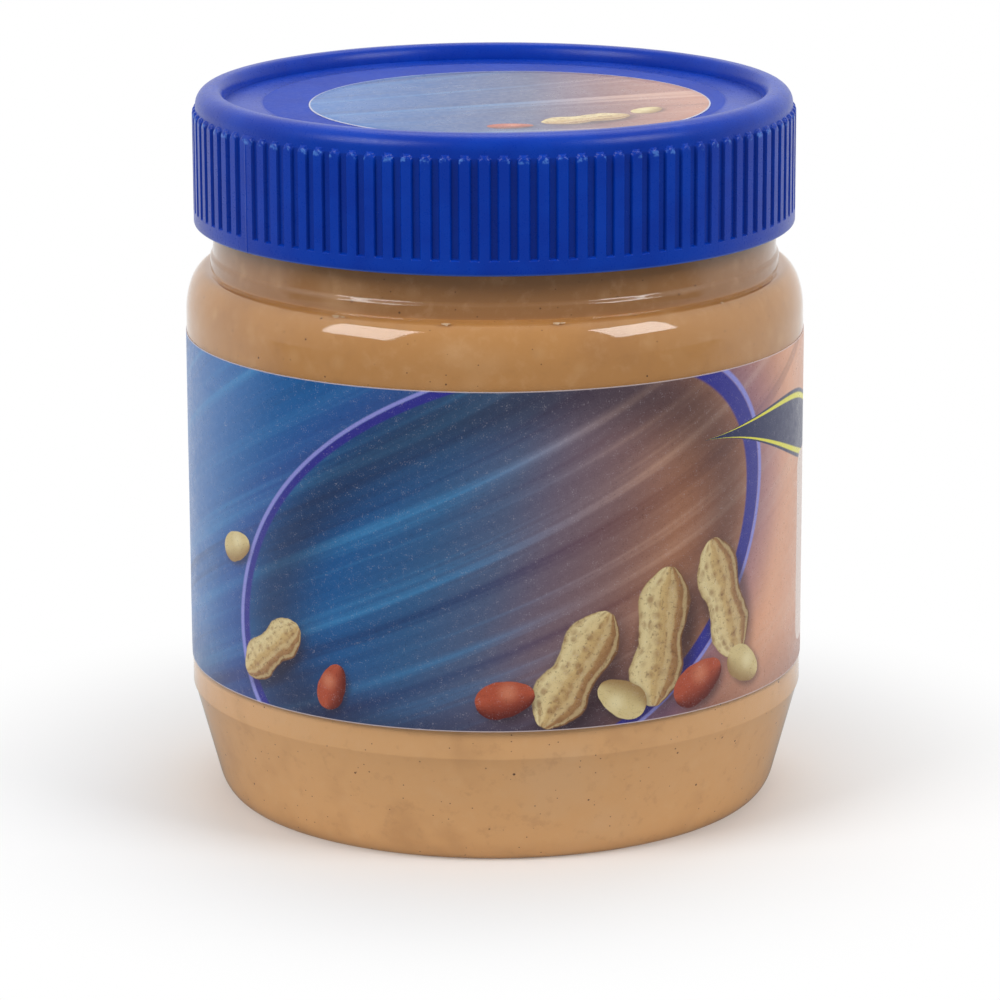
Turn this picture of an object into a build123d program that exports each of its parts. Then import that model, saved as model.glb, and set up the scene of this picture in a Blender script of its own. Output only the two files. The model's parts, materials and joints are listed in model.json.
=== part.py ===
from build123d import *
import math
import os

# A filled screw-top jar, closed. Origin at the centre of the base, +Z up, millimetres.

# Jar: overall sizes
body_radius = 38.0              # outside of the straight panel that carries the label
foot_height = 13.3              # from the ground to the top of the tapered foot
panel_length = 47.0             # height of the straight panel
neck_height = 18.8              # from the shoulder up to the rim
neck_inset = 3.4                # how far the neck lies inside the panel

# Jar: base and foot
push_up_height = 1.2            # the middle of the base is lifted off the ground
push_up_slope = 2.0             # width of the slope down to the standing ring
base_ring_width = 2.0
corner_width = 2.6              # base corner, across
corner_height = 5.0             # base corner, up
foot_taper = 15.0               # degrees that the foot leans in
foot_step = 0.27                # how far the foot sits back from the panel
foot_step_height = 0.6

# Jar: shoulder, neck and wall
shoulder_width = 2.6            # shoulder curve, across
shoulder_height = 5.4           # shoulder curve, up
bead_proud = 0.35               # how far the foot of the neck stands out from the neck
bead_height = 1.9
bead_slope = 0.4                # height of the slope on top of the foot of the neck
wall = 0.9
rim_round = 0.35

# Contents
contents_gap = 0.05             # between the contents and the wall
headspace = 6.1                 # between the contents and the lid

# Lid
lid_drop = 13.3                 # from the jar's rim down to the lid's lower edge
lid_bottom_round = 0.3
neck_clearance = 0.85           # between the neck and the inside of the skirt
skirt_wall = 1.45               # thickness of the skirt at a rib
lid_panel_thickness = 1.2
lid_recess = 1.9                # from the top of the raised rim down to the panel
rim_outer_width = 2.0           # rounded outer side of the raised rim
rim_outer_drop = 1.9
rim_top_width = 0.5
rim_inner_width = 1.1           # rounded inner side of the raised rim
annulus_width = 4.5             # smooth ring between the raised rim and the disc
disc_step = 0.1                 # how far the textured disc stands above that ring

# Ribs round the lid
ribs_per_half = 50              # on each side of the mould's parting line
parting_rib = 1.5               # width of the rib on the parting line, in rib pitches
parting_angle = -142.6          # where one of the two parting lines lies, degrees from +X
bottom_band = 1.9               # plain band under the ribs
rib_proud = 0.4                 # how far the ribs stand out from the band above them
rib_slope = 0.3                 # height of the slope that ends each rib
rib_end_drop = 2.3              # from the top of the raised rim down to the ends of the ribs
groove_width = 0.78
groove_flare = 0.16             # how much wider a groove is on each side at its mouth

# Labels
label_thickness = 0.1
label_margin_bottom = 3.5       # from the bottom of the panel to the label
label_margin_top = 2.4          # from the label to the top of the panel
label_gap = 3.0                 # between the two ends of the wrap-round label, at the back
sticker_margin = 4.0            # between the sticker and the edge of the disc
sticker_shift_x = 1.9           # the sticker was put on a little off centre
sticker_shift_y = -2.7

# Derived sizes and places
panel_bottom = foot_height + foot_step_height
panel_top = panel_bottom + panel_length
neck_foot = panel_top + shoulder_height
neck_radius = body_radius - neck_inset
bead_radius = neck_radius + bead_proud
bead_top = neck_foot + bead_height
rim_height = neck_foot + neck_height
contents_top = rim_height - headspace
label_bottom = panel_bottom + label_margin_bottom
label_height = panel_length - label_margin_bottom - label_margin_top

skirt_inner_radius = neck_radius + neck_clearance
lid_radius = skirt_inner_radius + skirt_wall
band_radius = lid_radius - rib_proud
lid_bottom = rim_height - lid_drop
lid_panel_top = rim_height + lid_panel_thickness
lid_top = lid_panel_top + lid_recess
rim_flat_outer = band_radius - rim_outer_width
rim_flat_inner = rim_flat_outer - rim_top_width
disc_radius = rim_flat_inner - rim_inner_width - annulus_width
disc_top = lid_panel_top + disc_step
sticker_radius = disc_radius - sticker_margin
rib_bottom = lid_bottom + bottom_band
rib_top = lid_top - rib_end_drop


def turn(edges):
    """Turn a closed half-outline in the XZ plane once round the Z axis."""
    return revolve(make_face(Wire(edges)), Axis.Z, 360)


def path(*points):
    """Straight edges through points of the half-outline, each a radius and a height."""
    corners = [(radius, 0, height) for radius, height in points]
    return [Line(start, end) for start, end in zip(corners, corners[1:])]


def curve(radius, height, width, rise, start, end):
    """Arc of an ellipse round a point of the half-outline, between two angles in degrees."""
    upright = Plane(origin=(radius, 0, height), x_dir=(1, 0, 0), z_dir=(0, -1, 0))
    return upright * EllipticalCenterArc((0, 0), width, rise, start, arc_size=end - start)


def jar_side(inset):
    """Edges from the standing ring up to the end of the shoulder, and that ring's radius.

    inset moves the whole side inwards: 0 for the outside, the wall for the inside.
    """
    lean = math.tan(math.radians(foot_taper))
    rise = corner_height - inset
    angle = -math.atan(rise * lean / corner_width)
    tangent_height = corner_height + rise * math.sin(angle)
    foot_radius = body_radius - foot_step - inset
    tangent_radius = foot_radius - (foot_height - tangent_height) * lean
    ring_radius = tangent_radius - corner_width * math.cos(angle)
    corner = curve(ring_radius, corner_height, corner_width, rise, -90, math.degrees(angle))
    radius = body_radius - inset
    shoulder = curve(
        body_radius - shoulder_width,
        panel_top,
        shoulder_width - inset,
        shoulder_height - inset,
        0,
        90,
    )
    foot = path(
        (tangent_radius, tangent_height),
        (foot_radius, foot_height),
        (radius, panel_bottom),
        (radius, panel_top),
    )
    return [corner] + foot + [shoulder], ring_radius


def jar_base(ring_radius, lift):
    """Edges from the axis out to the side: push-up, slope and standing ring."""
    ring_inner = ring_radius - base_ring_width
    return path(
        (0, push_up_height + lift),
        (ring_inner - push_up_slope, push_up_height + lift),
        (ring_inner, lift),
        (ring_radius, lift),
    )


def jar_inside(inset, top):
    """Solid that fills the jar up to a height, inset from its outside all over."""
    side, ring_radius = jar_side(inset)
    neck_wall = neck_radius - inset
    shoulder_end = neck_foot - inset
    neck = path(
        (body_radius - shoulder_width, shoulder_end),
        (neck_wall, shoulder_end),
        (neck_wall, top),
        (0, top),
        (0, push_up_height + inset),
    )
    return turn(jar_base(ring_radius, inset) + side + neck)


def make_jar():
    """Clear jar: tapered foot, straight panel, shoulder, foot of the neck, neck."""
    side, ring_radius = jar_side(0)
    neck = path(
        (body_radius - shoulder_width, neck_foot),
        (bead_radius, neck_foot),
        (bead_radius, bead_top - bead_slope),
        (neck_radius, bead_top),
        (neck_radius, rim_height - rim_round),
        (neck_radius - rim_round, rim_height),
        (0, rim_height),
        (0, push_up_height),
    )
    outside = turn(jar_base(ring_radius, 0) + side + neck)
    return outside - jar_inside(wall, rim_height + wall)


def make_peanut_butter():
    """Contents, up to the headspace under the lid."""
    return jar_inside(wall + contents_gap, contents_top)


def lid_blank():
    """Lid without its grooves: plain bands, raised rim, sunk panel and hollow skirt."""
    outer_round = curve(rim_flat_outer, lid_top - rim_outer_drop, rim_outer_width, rim_outer_drop, 0, 90)
    inner_round = curve(rim_flat_inner, lid_panel_top, rim_inner_width, lid_recess, 90, 180)
    panel = path(
        (0, rim_height),
        (0, disc_top),
        (disc_radius - disc_step, disc_top),
        (disc_radius, lid_panel_top),
        (rim_flat_inner - rim_inner_width, lid_panel_top),
    )
    rim = path((rim_flat_inner, lid_top), (rim_flat_outer, lid_top))
    skirt = path(
        (band_radius, lid_top - rim_outer_drop),
        (band_radius, rib_top),
        (lid_radius, rib_top - rib_slope),
        (lid_radius, lid_bottom + lid_bottom_round),
        (lid_radius - lid_bottom_round, lid_bottom),
        (skirt_inner_radius, lid_bottom),
        (skirt_inner_radius, rim_height),
        (0, rim_height),
    )
    return turn(panel + [inner_round] + rim + [outer_round] + skirt)


def groove_angles():
    """Angles of the grooves: two equal halves that meet in a wider rib."""
    pitch = 180 / (ribs_per_half - 1 + parting_rib)
    angles = []
    for half in range(2):
        first = parting_angle + 180 * half + parting_rib * pitch / 2
        angles += [first + index * pitch for index in range(ribs_per_half)]
    return angles


def groove_cutter():
    """Wedge that cuts one groove into the side of the lid, at angle 0."""
    mouth = lid_radius + rib_proud
    half_floor = groove_width / 2
    half_mouth = half_floor + groove_flare
    outline = Polyline(
        (band_radius, -half_floor),
        (mouth, -half_mouth),
        (mouth, half_mouth),
        (band_radius, half_floor),
        close=True,
    )
    return Pos(0, 0, rib_bottom) * extrude(make_face(outline), rib_top - rib_bottom)


def make_lid():
    """Screw lid: ribbed skirt, raised rim and sunk top panel. It rests on the jar's rim."""
    cutter = groove_cutter()
    return lid_blank() - [Rot(0, 0, angle) * cutter for angle in groove_angles()]


def make_label():
    """Wrap-round label on the straight panel, open by a narrow gap at the back."""
    outer = Cylinder(body_radius + label_thickness, label_height)
    inner = Cylinder(body_radius, label_height)
    gap = Pos(0, body_radius, 0) * Box(label_gap, body_radius, label_height)
    return Pos(0, 0, label_bottom + label_height / 2) * (outer - inner - gap)


def make_lid_label():
    """Round sticker on the disc in the middle of the lid."""
    middle = disc_top + label_thickness / 2
    return Pos(sticker_shift_x, sticker_shift_y, middle) * Cylinder(sticker_radius, label_thickness)


def main():
    os.makedirs("parts", exist_ok=True)
    nodes = {
        "jar": make_jar(),
        "peanut_butter": make_peanut_butter(),
        "lid": make_lid(),
        "label": make_label(),
        "lid_label": make_lid_label(),
    }
    for name, shape in nodes.items():
        export_step(shape, "parts/" + name + ".step")


main()
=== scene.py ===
import json
import math

import bmesh
import bpy
import numpy as np
from mathutils import Matrix, Vector

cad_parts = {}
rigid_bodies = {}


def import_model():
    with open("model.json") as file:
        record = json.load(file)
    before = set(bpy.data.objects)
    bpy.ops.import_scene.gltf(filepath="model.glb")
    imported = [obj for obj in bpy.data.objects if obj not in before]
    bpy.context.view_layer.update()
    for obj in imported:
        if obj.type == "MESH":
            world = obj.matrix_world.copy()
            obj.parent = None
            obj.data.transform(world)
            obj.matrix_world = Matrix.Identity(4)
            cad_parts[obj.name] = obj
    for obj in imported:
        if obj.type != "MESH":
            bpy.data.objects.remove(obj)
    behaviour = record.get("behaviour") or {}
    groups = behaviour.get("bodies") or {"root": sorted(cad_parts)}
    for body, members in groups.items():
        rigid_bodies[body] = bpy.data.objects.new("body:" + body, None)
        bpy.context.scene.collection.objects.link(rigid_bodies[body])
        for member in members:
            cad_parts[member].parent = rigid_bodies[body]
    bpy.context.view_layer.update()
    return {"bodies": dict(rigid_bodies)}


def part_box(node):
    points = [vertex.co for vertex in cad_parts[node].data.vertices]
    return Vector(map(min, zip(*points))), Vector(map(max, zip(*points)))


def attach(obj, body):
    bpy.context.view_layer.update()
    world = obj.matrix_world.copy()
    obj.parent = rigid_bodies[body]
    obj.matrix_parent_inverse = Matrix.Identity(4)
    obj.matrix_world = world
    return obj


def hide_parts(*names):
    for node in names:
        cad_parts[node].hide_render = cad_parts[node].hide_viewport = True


bl_info = {
    "name": "Peanut Butter Jar",
    "version": (1, 0, 0),
    "blender": (4, 5, 0),
    "location": "View3D > Sidebar > Jar",
    "description": "Clear jar of peanut butter with a ribbed lid, a printed label and a lid sticker",
    "category": "Object",
}

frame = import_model()

MM = 0.001
BODY = sorted(frame["bodies"])[0]

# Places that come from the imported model, in millimetres
JAR_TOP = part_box("jar")[1].z / MM
JAR_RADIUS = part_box("jar")[1].x / MM
CONTENTS_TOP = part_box("peanut_butter")[1].z / MM
LID_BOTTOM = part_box("lid")[0].z / MM
LID_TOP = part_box("lid")[1].z / MM
LABEL_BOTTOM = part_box("label")[0].z / MM
LABEL_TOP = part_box("label")[1].z / MM
LABEL_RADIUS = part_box("label")[1].x / MM
STICKER_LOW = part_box("lid_label")[0] / MM
STICKER_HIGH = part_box("lid_label")[1] / MM
STICKER_RADIUS = (STICKER_HIGH.x - STICKER_LOW.x) / 2
STICKER_X = (STICKER_HIGH.x + STICKER_LOW.x) / 2
STICKER_Y = (STICKER_HIGH.y + STICKER_LOW.y) / 2

# Jar, in millimetres
WALL = 0.9
CORNER_WIDTH = 2.6
CORNER_HEIGHT = 5.0
FOOT_TAPER = math.radians(15)
FOOT_HEIGHT = 13.3
FOOT_STEP = 0.27
PANEL_BOTTOM = 13.9
PANEL_TOP = 60.9
SHOULDER_WIDTH = 2.6
SHOULDER_HEIGHT = 5.4
NECK_RADIUS = 34.6
BEAD_PROUD = 0.35
BEAD_HEIGHT = 1.9
PUSH_UP = 1.2
PUSH_UP_SLOPE = 2.0
BASE_RING_WIDTH = 2.0
RIM_ROUND = 0.35
JAR_COLUMNS = 360

# Lid, in millimetres
RIBS_PER_HALF = 50
PARTING_RIB = 1.5
PARTING_ANGLE = math.radians(-142.6)
RIB_RADIUS = 36.9
RIB_PROUD = 0.4
RIB_BOTTOM = LID_BOTTOM + 1.9
RIB_TOP = LID_TOP - 2.3
GROOVE_HALF_FLOOR = 0.36
GROOVE_HALF_MOUTH = 0.58
SKIRT_INSIDE = 35.45
RIM_FLAT_OUTER = 34.5
RIM_FLAT_INNER = 34.0
RIM_INNER_WIDTH = 1.1
RIM_DROP = 1.9
DISC_RADIUS = 28.4
DISC_STEP = 0.1
LID_SLACK = 0.05

# Labels, in millimetres
LABEL_GAP = 3.0


def srgb(red, green, blue):
    """Linear colour from three 0-255 values."""
    out = []
    for value in (red, green, blue):
        share = value / 255
        out.append(share / 12.92 if share <= 0.04045 else ((share + 0.055) / 1.055) ** 2.4)
    return tuple(out)


def rgba(red, green, blue):
    return srgb(red, green, blue) + (1.0,)


# ---------------------------------------------------------------- settings


class JarSettings(bpy.types.PropertyGroup):
    """Clear jar and what fills it."""

    contents_reach: bpy.props.FloatProperty(
        name="Contents reach",
        description="How far the contents reach into the wall, so that no air gap shows",
        default=0.45 * MM,
        unit="LENGTH",
    )
    plastic_roughness: bpy.props.FloatProperty(
        name="Plastic roughness",
        description="Roughness of the clear plastic",
        default=0.045,
        subtype="FACTOR",
    )
    contents_low: bpy.props.FloatVectorProperty(
        name="Contents, low",
        description="Colour of the peanut butter near the base",
        default=srgb(217, 167, 114),
        subtype="COLOR",
    )
    contents_high: bpy.props.FloatVectorProperty(
        name="Contents, high",
        description="Colour of the peanut butter near the shoulder",
        default=srgb(189, 136, 79),
        subtype="COLOR",
    )


class LidSettings(bpy.types.PropertyGroup):
    """Ribbed screw lid."""

    colour: bpy.props.FloatVectorProperty(
        name="Lid colour",
        description="Colour of the moulded plastic",
        default=srgb(0, 50, 160),
        subtype="COLOR",
    )
    roughness: bpy.props.FloatProperty(
        name="Lid roughness",
        description="Roughness of the moulded plastic",
        default=0.3,
        subtype="FACTOR",
    )


class StageSettings(bpy.types.PropertyGroup):
    """Camera and light."""

    camera_distance: bpy.props.FloatProperty(
        name="Camera distance",
        description="From the jar's axis to the camera, level",
        default=569.29 * MM,
        unit="LENGTH",
    )
    camera_height: bpy.props.FloatProperty(
        name="Camera height",
        description="From the ground to the camera",
        default=179.90 * MM,
        unit="LENGTH",
    )
    lens: bpy.props.FloatProperty(
        name="Lens",
        description="Focal length in millimetres",
        default=169.55,
    )
    world_strength: bpy.props.FloatProperty(
        name="World strength",
        description="Strength of the soft light from all round",
        default=0.42,
    )
    lamp_strength: bpy.props.FloatProperty(
        name="Lamp strength",
        description="Share of the softboxes' full strength",
        default=1.0,
        subtype="FACTOR",
    )


# ---------------------------------------------------------------- meshes


def grid_object(name, rows, wrap=True, cap_start=None, cap_end=None):
    """Mesh object from rows of points in millimetres, with its ends closed to a point or left open."""
    rows = np.asarray(rows, float)
    count, columns = rows.shape[:2]
    points = rows.reshape(-1, 3).tolist()
    index = np.arange(count * columns).reshape(count, columns)
    after = np.roll(index, -1, axis=1)
    last = columns if wrap else columns - 1
    low, low_next = index[:-1, :last], after[:-1, :last]
    high, high_next = index[1:, :last], after[1:, :last]
    faces = np.stack([low, low_next, high_next, high], -1).reshape(-1, 4).tolist()
    for centre, row, turned in ((cap_start, 0, True), (cap_end, count - 1, False)):
        if centre is None:
            continue
        points.append(list(centre))
        tip = len(points) - 1
        for here, there in zip(index[row], after[row]):
            faces.append([int(there), int(here), tip] if turned else [int(here), int(there), tip])
    mesh = bpy.data.meshes.new(name)
    mesh.from_pydata([(x * MM, y * MM, z * MM) for x, y, z in points], [], faces)
    mesh.update()
    return finish_mesh(name, mesh)


def finish_mesh(name, mesh, smooth_angle=math.radians(38)):
    """Object with outward normals, smooth but for its sharp edges."""
    work = bmesh.new()
    work.from_mesh(mesh)
    bmesh.ops.recalc_face_normals(work, faces=work.faces)
    for edge in work.edges:
        if len(edge.link_faces) == 2 and edge.calc_face_angle() > smooth_angle:
            edge.smooth = False
    for face in work.faces:
        face.smooth = True
    work.to_mesh(mesh)
    work.free()
    piece = bpy.data.objects.new(name, mesh)
    bpy.context.scene.collection.objects.link(piece)
    return piece


def lathe_rows(profile, columns):
    """Rows of points round the Z axis from a list of radii and heights."""
    turn = np.linspace(0, 2 * math.pi, columns, endpoint=False)
    rows = []
    for radius, height in profile:
        rows.append(np.stack([radius * np.cos(turn), radius * np.sin(turn), np.full(columns, height)], 1))
    return np.array(rows)


def arc(radius, height, width, rise, start, end, steps):
    """Points of an elliptical arc of the profile, between two angles in degrees."""
    angles = np.radians(np.linspace(start, end, steps))
    return [(radius + width * math.cos(a), height + rise * math.sin(a)) for a in angles]


def straight(start, end, steps):
    """Points from start to end of a straight part of the profile, without the first."""
    return [
        (start[0] + (end[0] - start[0]) * step / steps, start[1] + (end[1] - start[1]) * step / steps)
        for step in range(1, steps + 1)
    ]


def softened(profile, radius=0.12):
    """The same profile with its sharp corners cut by two short steps."""
    out = [profile[0]]
    for before, here, after in zip(profile, profile[1:], profile[2:]):
        back = Vector(before) - Vector(here)
        on = Vector(after) - Vector(here)
        if back.length < 1e-6 or on.length < 1e-6:
            continue
        if back.angle(on) > math.radians(165):
            out.append(here)
            continue
        start = Vector(here) + back * min(radius / back.length, 0.4)
        end = Vector(here) + on * min(radius / on.length, 0.4)
        middle = (start + end) / 4 + Vector(here) / 2
        out += [tuple(start), tuple(middle), tuple(end)]
    return out + [profile[-1]]


def jar_profile(inset, top):
    """Outline of the jar from the base's middle up to a height, inset all over."""
    lean = math.tan(FOOT_TAPER)
    rise = CORNER_HEIGHT - inset
    angle = -math.atan(rise * lean / CORNER_WIDTH)
    tangent_height = CORNER_HEIGHT + rise * math.sin(angle)
    foot_radius = JAR_RADIUS - FOOT_STEP - inset
    tangent_radius = foot_radius - (FOOT_HEIGHT - tangent_height) * lean
    ring = tangent_radius - CORNER_WIDTH * math.cos(angle)
    side = JAR_RADIUS - inset
    shoulder_end = PANEL_TOP + SHOULDER_HEIGHT - inset
    shoulder_radius = JAR_RADIUS - SHOULDER_WIDTH
    profile = [(ring - 24, PUSH_UP + inset), (ring - (BASE_RING_WIDTH + PUSH_UP_SLOPE), PUSH_UP + inset)]
    profile.append((ring - BASE_RING_WIDTH, inset))
    profile += arc(ring, CORNER_HEIGHT, CORNER_WIDTH, rise, -90, math.degrees(angle), 14)
    profile += straight((tangent_radius, tangent_height), (foot_radius, FOOT_HEIGHT), 6)
    profile += [(side, PANEL_BOTTOM)]
    profile += straight((side, PANEL_BOTTOM), (side, PANEL_TOP), 24)
    shoulder_width, shoulder_rise = SHOULDER_WIDTH - inset, SHOULDER_HEIGHT - inset
    profile += arc(shoulder_radius, PANEL_TOP, shoulder_width, shoulder_rise, 0, 90, 24)[1:]
    bead = NECK_RADIUS + BEAD_PROUD - inset
    bead_top = PANEL_TOP + SHOULDER_HEIGHT + BEAD_HEIGHT
    profile += [(bead, shoulder_end), (bead, bead_top - 0.4), (NECK_RADIUS - inset, bead_top)]
    profile += straight((NECK_RADIUS - inset, bead_top), (NECK_RADIUS - inset, top), 6)
    return softened(profile)


def make_contents(settings):
    """Peanut butter: smooth against the wall, swirled on top under the lid."""
    inset = settings.contents_reach / MM
    profile = jar_profile(inset, CONTENTS_TOP - 0.6)
    edge = NECK_RADIUS - inset
    profile += [(edge - 0.2, CONTENTS_TOP - 0.25), (edge - 0.8, CONTENTS_TOP - 0.1)]
    profile += straight((edge - 0.8, CONTENTS_TOP - 0.1), (2.0, CONTENTS_TOP - 0.1), 24)
    rows = lathe_rows(profile, JAR_COLUMNS)
    top = rows[-24:]
    radius = np.hypot(top[:, :, 0], top[:, :, 1])
    turn = np.arctan2(top[:, :, 1], top[:, :, 0])
    top[:, :, 2] += 0.45 * (np.sin(radius * 0.9 - turn * 2) - 1) * np.clip(radius / 20, 0, 1)
    return grid_object(
        "peanut_butter_filling",
        rows,
        cap_start=(0, 0, PUSH_UP + inset),
        cap_end=(0, 0, CONTENTS_TOP - 0.2),
    )


def make_jar():
    """Clear shell with its wall and its standing ring, a hair out of round."""
    outside = jar_profile(0, JAR_TOP - RIM_ROUND) + [(NECK_RADIUS - RIM_ROUND, JAR_TOP)]
    inside = jar_profile(WALL, JAR_TOP - 0.1)
    rows = lathe_rows(outside + inside[::-1], JAR_COLUMNS)
    turn = np.arctan2(rows[:, :, 1], rows[:, :, 0])
    radius = np.hypot(rows[:, :, 0], rows[:, :, 1])
    side = (radius > 33) & (np.arange(len(rows))[:, None] < len(outside))
    wobble = 0.02 * np.sin(2 * turn + 0.6) + 0.012 * np.sin(5 * turn + rows[:, :, 2] * 0.09)
    wobble -= 0.032
    panel = (rows[:, :, 2] > LABEL_BOTTOM - 1) & (rows[:, :, 2] < LABEL_TOP + 1)
    factor = np.where(side & ~panel, 1 + wobble / np.maximum(radius, 1), 1.0)
    rows[:, :, 0] *= factor
    rows[:, :, 1] *= factor
    return grid_object(
        "clear_jar",
        rows,
        cap_start=(0, 0, PUSH_UP),
        cap_end=(0, 0, PUSH_UP + WALL),
    )


def lid_columns():
    """Angles of the lid's columns of points, each with its distance to the nearest groove and seam."""
    pitch = math.pi / (RIBS_PER_HALF - 1 + PARTING_RIB)
    grooves = []
    for half in range(2):
        first = PARTING_ANGLE + math.pi * half + PARTING_RIB * pitch / 2
        grooves += [first + number * pitch for number in range(RIBS_PER_HALF)]
    near = [-0.66, -0.58, -0.51, -0.44, -0.36, -0.12, 0.12, 0.36, 0.44, 0.51, 0.58, 0.66]
    middle = [0.9, 1.15, 1.4]
    wide = [0.9, 1.2, 1.5, 1.62, 1.69, 1.72, 1.75, 1.82, 1.94, 2.24, 2.54]
    angles = []
    for number, groove in enumerate(grooves):
        last = (number + 1) % RIBS_PER_HALF == 0
        angles += [groove + offset / RIB_RADIUS for offset in near + (wide if last else middle)]
    angles = np.array(angles)
    apart = np.angle(np.exp(1j * (angles[:, None] - np.array(grooves)[None, :])))
    nearest = np.abs(apart).min(axis=1) * RIB_RADIUS
    seam = np.abs(np.angle(np.exp(2j * (angles - PARTING_ANGLE)))) / 2 * RIB_RADIUS
    return angles, nearest, seam


def smooth(low, high, value):
    """0 below low, 1 above high, and a smooth rise between."""
    share = np.clip((value - low) / (high - low), 0, 1)
    return share * share * (3 - 2 * share)


def skirt_radius(height, nearest, seam):
    """Outer radius of the lid's side at a height, for every column."""
    rib = smooth(GROOVE_HALF_FLOOR, GROOVE_HALF_MOUTH, nearest)
    band = 1 - smooth(RIB_BOTTOM - 0.15, RIB_BOTTOM + 0.15, height)
    corner = 0.35 * (1 - smooth(0.5, 0.95, nearest))
    end = np.clip((height - (RIB_TOP - 0.55 - corner)) / 0.55, 0, 1)
    proud = np.maximum(band, rib * np.sqrt(1 - end * end))
    edge = 0.3 * (1 - np.sqrt(1 - np.clip(1 - (height - LID_BOTTOM) / 0.3, 0, 1) ** 2))
    ridge = 0.05 * np.exp(-((seam / 0.07) ** 2)) * (height < RIB_TOP - 0.9)
    return RIB_RADIUS - RIB_PROUD + RIB_PROUD * proud - edge + ridge - LID_SLACK


def make_lid():
    """Ribbed lid: hollow skirt, rounded raised rim, smooth ring and a textured disc in the middle."""
    angles, nearest, seam = lid_columns()
    inner_foot = RIM_FLAT_INNER - RIM_INNER_WIDTH
    panel = LID_TOP - RIM_DROP
    under = JAR_TOP
    heights = [LID_BOTTOM + step for step in (0.0, 0.04, 0.12, 0.3, 0.9, 1.55)]
    heights += [RIB_BOTTOM + step for step in (-0.15, -0.05, 0.05, 0.15, 0.4, 2.5, 5.0, 7.5, 10.0)]
    heights += [RIB_TOP - step for step in (1.1, 0.9, 0.75, 0.6, 0.5, 0.4, 0.3, 0.2, 0.1, 0.04, -0.04)]
    rows = [np.full(len(angles), radius) for radius in (14.0, SKIRT_INSIDE, SKIRT_INSIDE)]
    places = [under, under, LID_BOTTOM]
    for height in heights:
        rows.append(skirt_radius(height, nearest, seam))
        places.append(height)
    band = RIB_RADIUS - RIB_PROUD
    top = arc(RIM_FLAT_OUTER, panel, band - RIM_FLAT_OUTER - LID_SLACK, RIM_DROP, 0, 90, 12)
    top += arc(RIM_FLAT_INNER, panel, RIM_INNER_WIDTH, RIM_DROP, 90, 180, 9)
    top += [(inner_foot - 0.25, panel), (31.0, panel), (DISC_RADIUS + 0.12, panel)]
    top += [(DISC_RADIUS, panel + 0.04), (DISC_RADIUS - DISC_STEP, panel + DISC_STEP)]
    top += [(DISC_RADIUS - 0.4, panel + DISC_STEP), (24.0, panel + DISC_STEP), (12.0, panel + DISC_STEP)]
    for radius, height in top:
        rows.append(np.full(len(angles), radius))
        places.append(height)
    points = []
    for radius, height in zip(rows, places):
        level = np.full(len(angles), height)
        points.append(np.stack([radius * np.cos(angles), radius * np.sin(angles), level], 1))
    return grid_object(
        "ribbed_lid",
        points,
        cap_start=(0, 0, under),
        cap_end=(0, 0, panel + DISC_STEP),
    )


def make_label():
    """Thin wrap-round label with its two ends at the back, not pressed down everywhere alike."""
    gap = LABEL_GAP / LABEL_RADIUS / 2
    turn = np.linspace(math.pi / 2 + gap, math.pi / 2 - gap + 2 * math.pi, 481)
    heights = np.linspace(LABEL_BOTTOM, LABEL_TOP, 36)
    loops = []
    for angle in turn:
        lift = 0.012 * math.sin(angle * 7) * np.sin(heights * 0.31 + angle * 3)
        outer = LABEL_RADIUS - 0.012 + lift
        outer[0] -= 0.02
        outer[-1] -= 0.02
        inner = np.full(len(heights), JAR_RADIUS + 0.01)
        radius = np.concatenate([outer, inner[::-1]])
        height = np.concatenate([heights, heights[::-1]])
        loops.append(np.stack([radius * math.cos(angle), radius * math.sin(angle), height], 1))
    middle = (JAR_RADIUS + LABEL_RADIUS) / 2
    ends = []
    for angle in (turn[0], turn[-1]):
        centre_height = (LABEL_BOTTOM + LABEL_TOP) / 2
        ends.append((middle * math.cos(angle), middle * math.sin(angle), centre_height))
    return grid_object("wrap_label", loops, cap_start=ends[0], cap_end=ends[1])


def make_lid_label():
    """Round sticker on the lid, with a hair-thin rounded edge."""
    low, high = STICKER_LOW.z, STICKER_HIGH.z
    rounded = STICKER_RADIUS - 0.05
    profile = [(rounded, low), (STICKER_RADIUS, low + 0.02), (STICKER_RADIUS - 0.01, high - 0.02)]
    profile += [(rounded, high)] + straight((rounded, high), (3.0, high), 12)
    rows = lathe_rows(profile, 256)
    rows[:, :, 0] += STICKER_X
    rows[:, :, 1] += STICKER_Y
    return grid_object(
        "lid_sticker",
        rows,
        cap_start=(STICKER_X, STICKER_Y, low),
        cap_end=(STICKER_X, STICKER_Y, high),
    )


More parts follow.
